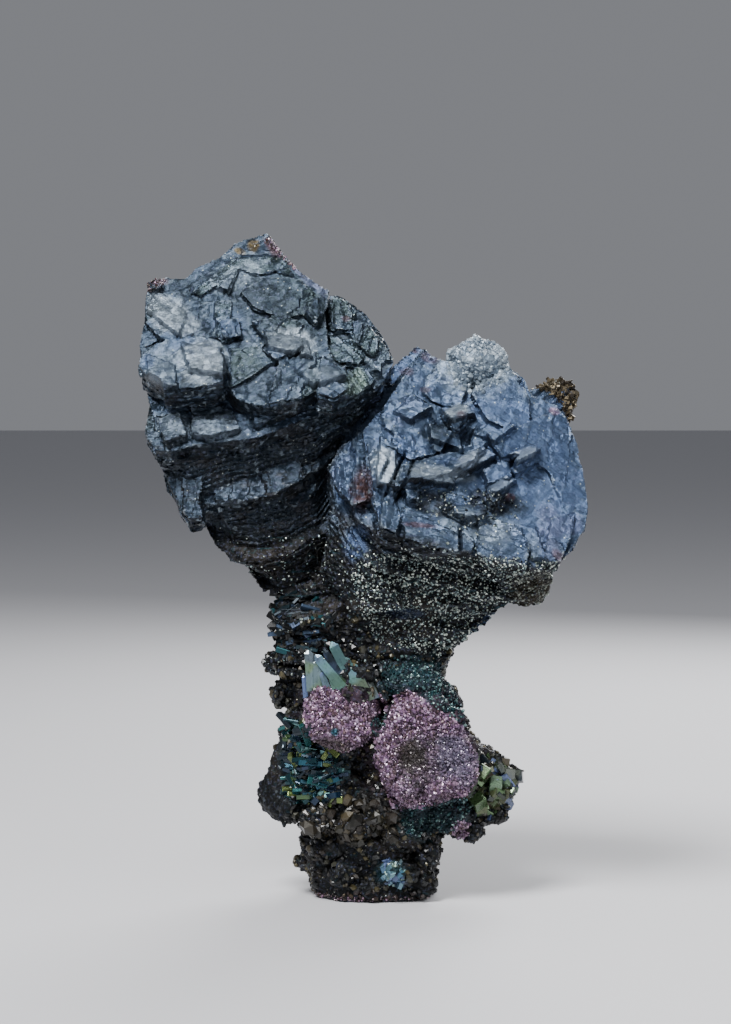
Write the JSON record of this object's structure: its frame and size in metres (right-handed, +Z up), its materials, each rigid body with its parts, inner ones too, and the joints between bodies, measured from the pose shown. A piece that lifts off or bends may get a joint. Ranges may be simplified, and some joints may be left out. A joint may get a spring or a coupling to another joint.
{
  "type": "peacock ore specimen",
  "caption": "Natural specimen of tarnished copper sulphide: two tabular crystal heads with stepped cleavage layers on a knobbly stalk with druse domes and a small flat foot.",
  "frame": {"origin": "middle of the small broken foot, on the surface that the specimen stands on", "axes": "+Z up along the stalk to the heads, -Y towards the side with the stepped faces and the druse domes, +X to that side's right"},
  "size_m": [0.0445, 0.0255, 0.0675],
  "materials": {
    "ore": "steel-blue tarnished copper sulphide, between metallic and enamel, with violet, teal and ochre patches"
  },
  "bodies": {
    "root": {"peacock_ore": "ore"}
  },
  "joints": []
}
